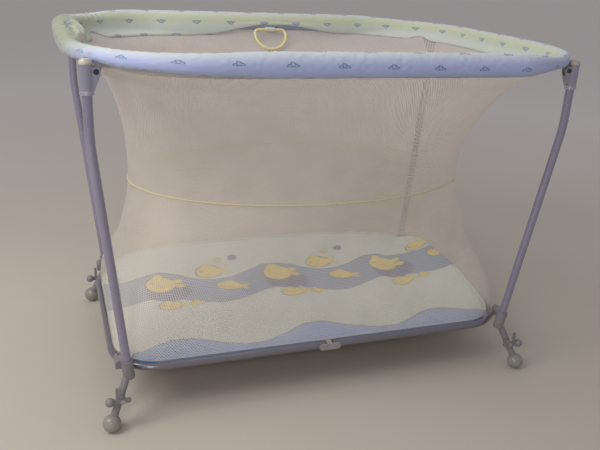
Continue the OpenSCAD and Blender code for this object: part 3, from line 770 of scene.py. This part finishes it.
def cover_half(side):
    sx = SIDES[side]
    steps = int(HALF_RAIL / COVER_STEP)
    cols = ROLL_POINTS + 2 * TAIL_POINTS
    points, girths, held = [], [], []
    for i in range(steps + 1):
        d = HALF_RAIL * i / steps
        centre, normal = (side_of(v, sx) for v in rounded(RAIL_X, RAIL_Y, RAIL_R, d))
        roll, roll_girth = cover_roll(side, d, centre, normal)
        flap, flap_girth = cover_flap(side, d, centre, normal)
        points += roll + flap
        girths.append(roll_girth + flap_girth)
        held += [cover_hold(sx, d) if j < ROLL_POINTS - 2 else 1.0 for j in range(cols)]

    def uv_at(i, j):
        return (sx * HALF_RAIL * i / steps, girths[i][j % cols])

    faces, uvs = grid_faces(steps + 1, cols, True, uv_at, flip=sx > 0)
    for ring, flip in ((range(cols), sx < 0), (range(steps * cols, (steps + 1) * cols), sx > 0)):
        ring = list(ring)
        faces.append(ring if not flip else ring[::-1])
        uvs.append([(0.0, 0.0)] * cols)
    obj = add_mesh("rail_cover_" + side, [tuple(p) for p in points], faces, uvs, cover_cloth)
    fill_with_air(obj, held, 3.0, 0.025, 0.0045)
    clear_of_tube(obj, sx, steps, cols)
    crisp_seam(obj, 1e-5)
    return obj


covers = {side: cover_half(side) for side in SIDES}


# ---- Net halves ----
NET_ROWS, NET_COLS = 96, 150
NET_EDGE = math.radians(89.98)


def net_fold(z, f, sx):
    """Small hanging folds near the top corners, where the net is gathered."""
    corner = math.atan2(BRACKET[1], BRACKET[0])
    near = 1 - smooth(0.0, 0.42, abs(abs(f) - corner))
    high = smooth(0.47, 0.70, z)
    wave = math.sin(f * 74 + 1.3 * math.sin(f * 23)) + 0.6 * math.sin(f * 131 + 2.0)
    soft = 0.0006 * noise.noise(Vector((f * 9, z * 7, sx)))
    return 0.0016 * near * high * wave + soft


def net_point(z, f, sx, out=0.0):
    r = net_radius(z, f) + net_fold(z, f, sx) + out
    return Vector((sx * r * math.cos(f), r * math.sin(f), z))


def net_half(side):
    sx = SIDES[side]
    rows = [mix(NET_FOOT_Z, NET_TOP_Z, (i / NET_ROWS)) for i in range(NET_ROWS + 1)]
    points = [net_point(z, mix(-NET_EDGE, NET_EDGE, j / NET_COLS), sx)
              for z in rows for j in range(NET_COLS + 1)]
    cols = NET_COLS + 1
    # arc length round each row and height along each column, for a net of even cells
    around, height = [], [[0.0] * cols]
    for i in range(NET_ROWS + 1):
        line = [0.0]
        for j in range(1, cols):
            line.append(line[-1] + (points[i * cols + j] - points[i * cols + j - 1]).length)
        around.append([value - line[-1] / 2 for value in line])
        if i:
            height.append([height[-1][j] + (points[i * cols + j] - points[(i - 1) * cols + j]).length
                           for j in range(cols)])
    mean = [sum(abs(row[j]) for row in around) / len(around) for j in range(cols)]
    faces, uvs = grid_faces(NET_ROWS + 1, cols, False,
                            lambda i, j: (math.copysign(mean[j], around[i][j]), height[i][j]),
                            flip=sx < 0)
    obj = add_mesh("net_wall_" + side, [tuple(p) for p in points], faces, uvs, net_knit)
    return obj, 2 * mean[-1], max(height[-1])


nets = {side: net_half(side) for side in SIDES}


def waist_half(side):
    sx = SIDES[side]
    path = [net_point(WAIST_Z - 0.001 * math.cos(2 * f), f, sx, 0.0016)
            for f in (mix(-NET_EDGE, NET_EDGE, j / 120) for j in range(121))]
    return tube("waist_tape_" + side, path, 0.0017, 10, waist_tape)


waists = {side: waist_half(side) for side in SIDES}


# ---- Floor mat ----
MAT_RISE_REAR, MAT_RISE_END = 0.056, 0.040
MAT_SEAM = 0.0002       # gap on each side of the seam between the halves


def mat_edge(x):
    """Half depth of the mat at distance x from the seam."""
    cx = MAT_X - MAT_R
    if x <= cx:
        return MAT_Y
    return MAT_Y - MAT_R + math.sqrt(max(0.0, MAT_R ** 2 - (x - cx) ** 2))


def mat_rise(x, y):
    """How far the mat's border stands up against the net at the rear and at the right end."""
    rear = smooth(0.0, 1.0, (y - 0.150) / 0.110) ** 1.3 * max(0.0, y - 0.150) / 0.0965
    over = 1 - smooth(0.15, 0.62, abs(x + 0.02)) * 0.65
    right = smooth(0.0, 1.0, (x - 0.350) / 0.12) * smooth(-0.24, 0.02, y)
    left = smooth(0.0, 1.0, (-x - 0.385) / 0.09) * 0.35
    lift = max(MAT_RISE_REAR * rear * over, MAT_RISE_END * right)
    return max(lift, MAT_RISE_END * left * smooth(-0.1, 0.15, y))


MAT_ROWS, MAT_COLS = 84, 90


def mat_top(sx):
    """Points of the mat's upper face from the seam outwards, and where each is in the print."""
    reach = MAT_X - MAT_SEAM
    points, places = [], []
    for i in range(MAT_ROWS + 1):
        x = MAT_SEAM + reach * math.sin(math.pi / 2 * i / MAT_ROWS) ** 0.92
        edge = mat_edge(x)
        for j in range(MAT_COLS + 1):
            y = edge * math.sin(math.pi / 2 * (2 * j / MAT_COLS - 1))
            gap = min(edge - abs(y), MAT_X - x)
            corner = max(0.0, x - (MAT_X - MAT_R)), max(0.0, abs(y) - (MAT_Y - MAT_R))
            if corner[0] and corner[1]:
                gap = MAT_R - math.hypot(*corner)
            gap = max(0.0, gap)
            rise = mat_rise(sx * x, y)
            sag = 0.0045 * (1 - min(1.0, gap / 0.012)) ** 2
            waves = 0.0009 * noise.noise(Vector((sx * x * 9, y * 9, 0.5)))
            waves += 0.0007 * noise.noise(Vector((sx * x * 30, y * 22, 7.0))) * smooth(0.0, 0.05, gap)
            points.append(Vector((sx * x, y, MAT_TOP - sag + waves + rise)))
            # flat place in the print: the raised border is longer than it looks from above
            places.append((sx * (x + 0.55 * rise * smooth(0.33, 0.45, x)),
                           y + 0.75 * rise * smooth(0.1, 0.2, y)))
    return points, places


def mat_half(side):
    sx = SIDES[side]
    cols = MAT_COLS + 1
    top, places = mat_top(sx)
    low = [Vector((p.x, p.y, MAT_LOW + mat_rise(p.x, p.y))) for p in top]
    count = len(top)

    def uv_at(i, j):
        return places[i * cols + j]

    faces, uvs = grid_faces(MAT_ROWS + 1, cols, False, uv_at, flip=sx < 0)
    low_faces, low_uvs = grid_faces(MAT_ROWS + 1, cols, False, uv_at, flip=sx > 0)
    faces += [[k + count for k in face] for face in low_faces]
    uvs += low_uvs
    rim = list(range(cols)) + [i * cols + MAT_COLS for i in range(1, MAT_ROWS + 1)]
    rim += [MAT_ROWS * cols + j for j in range(MAT_COLS - 1, -1, -1)]
    rim += [i * cols for i in range(MAT_ROWS - 1, 0, -1)]
    for a, b in zip(rim, rim[1:] + rim[:1]):
        face = [a, a + count, b + count, b]
        faces.append(face if sx < 0 else face[::-1])
        uvs.append([places[k % count] for k in faces[-1]])
    obj = add_mesh("mat_" + side, [tuple(p) for p in top + low], faces, uvs, mat_cloth)
    held = []
    for p in top:
        rim_gap = min(mat_edge(abs(p.x)) - abs(p.y), MAT_X - abs(p.x))
        held.append(max(1 - smooth(0.0, 0.03, rim_gap), 1 - smooth(0.0, 0.05, abs(p.x))))
    fill_with_air(obj, held + [1.0] * len(low), 2.0, 0.012, 0.004)
    crisp_seam(obj, 2 * MAT_SEAM)
    return obj, mat_edging(side)


def mat_edging(side):
    """Round tape sewn along the rim of the mat, with the mat's own print."""
    sx = SIDES[side]
    length = rounded_length(MAT_X, MAT_Y, MAT_R)
    path = []
    for i in range(241):
        p, _ = rounded(MAT_X + 0.0004, MAT_Y + 0.0004, MAT_R, (length + 0.0008) * i / 240)
        p = side_of(p, sx)
        path.append(p + Vector((0, 0, MAT_TOP - 0.0032 + mat_rise(p.x, p.y))))
    tape = tube("mat_edge_" + side, path, 0.0026, 10, mat_cloth)
    for loop, corner in zip(tape.data.loops, tape.data.uv_layers[0].data):
        corner.uv = tape.data.vertices[loop.vertex_index].co.xy
    return tape


mats = {side: mat_half(side) for side in SIDES}


# ---- Cap on top of each leg bracket ----
def bracket_cap(side, end, sy):
    """Domed plug with a rolled rim, turned from a profile of radius and height."""
    sx = SIDES[side]
    _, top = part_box("top_bracket_" + end + "_" + side)
    x, y = sx * BRACKET[0], sy * BRACKET[1]
    profile = [(0.0112, -0.0085), (0.0119, -0.0078), (0.0120, -0.0058), (0.0114, -0.0034),
               (0.0102, -0.0012), (0.0083, 0.0006), (0.0056, 0.0017), (0.0027, 0.0022)]
    sides = 32
    turns = [math.tau * j / sides for j in range(sides)]
    points = [(x + r * math.cos(turn), y + r * math.sin(turn), top[2] + h)
              for r, h in profile for turn in turns]
    faces, uvs = grid_faces(len(profile), sides, True, lambda i, j: (i * 0.002, j * 0.002), flip=True)
    last = (len(profile) - 1) * sides
    for ring in (list(range(sides)), list(range(last, last + sides))[::-1]):
        faces.append(ring[::-1])
        uvs.append([(0.0, 0.0)] * sides)
    cap = add_mesh("bracket_cap_" + end + "_" + side, points, faces, uvs, cap_plastic)
    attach(cap, "legs_" + side)


for side in SIDES:
    bracket_cap(side, "front", -1)
    bracket_cap(side, "rear", 1)


for side, sx in SIDES.items():
    cover = covers[side]
    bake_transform(cover)
    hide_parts("cover_end_" + side, "cover_front_" + side, "cover_rear_" + side)

    net, wide, high = nets[side]
    waist = waists[side]
    for piece, node_name, slot_name in ((net, "net_", "net_fabric"), (waist, "waist_piping_", "piping")):
        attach(piece, "legs_" + side)
        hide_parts(node_name + side)
        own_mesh(piece)

    mat, edge = mats[side]
    for piece in (mat, edge):
        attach(piece, "base_" + side)
    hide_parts("mat_" + side)

# ---- Floor, light and camera ----
bpy.ops.mesh.primitive_grid_add(x_subdivisions=8, y_subdivisions=8, size=90, location=(0, 0, 0))
floor = bpy.context.object
floor.name = "floor"
floor.data.materials.append(floor_material())

world = bpy.data.worlds.new("studio")
scene.world = world
world.use_nodes = True
world.node_tree.nodes["Background"].inputs[0].default_value = (0.76, 0.74, 0.77, 1)
world.node_tree.nodes["Background"].inputs[1].default_value = 0.47
scene.view_settings.view_transform = "Standard"


def area_light(name, place, target, size, watts, color):
    data = bpy.data.lights.new(name, "AREA")
    data.shape = "RECTANGLE"
    data.size, data.size_y = size
    data.energy = watts
    data.color = color
    obj = bpy.data.objects.new(name, data)
    obj.location = place
    obj.rotation_mode = "QUATERNION"
    obj.rotation_quaternion = (Vector(target) - Vector(place)).to_track_quat("-Z", "Y")
    scene.collection.objects.link(obj)


area_light("window", (-1.7, -0.5, 1.75), (-0.2, 0.1, 0.4), (1.2, 1.2), 23, (1.0, 0.97, 0.92))
area_light("ceiling", (-0.1, 0.6, 2.8), (0, 0, 0.3), (1.8, 1.8), 9, (1.0, 0.97, 0.92))
area_light("flash", (-1.25, -2.1, 1.25), (-0.2, 0, 0.40), (0.5, 0.5), 10.5, (0.95, 0.97, 1.0))

camera_data = bpy.data.cameras.new("camera")
camera_data.sensor_width = 36
camera_data.lens = 42.7218
camera_data.clip_start, camera_data.clip_end = 0.01, 100
camera = bpy.data.objects.new("camera", camera_data)
scene.collection.objects.link(camera)
camera_place = Vector((-0.5553, -1.5530, 0.9201))
right = Vector((0.94454, -0.32465, 0.04944))
ahead = Vector((0.32063, 0.87916, -0.35252))
up = right.cross(ahead)
turned = Matrix((right, up, -ahead)).transposed().to_4x4()
camera.matrix_world = Matrix.Translation(camera_place) @ turned
scene.camera = camera
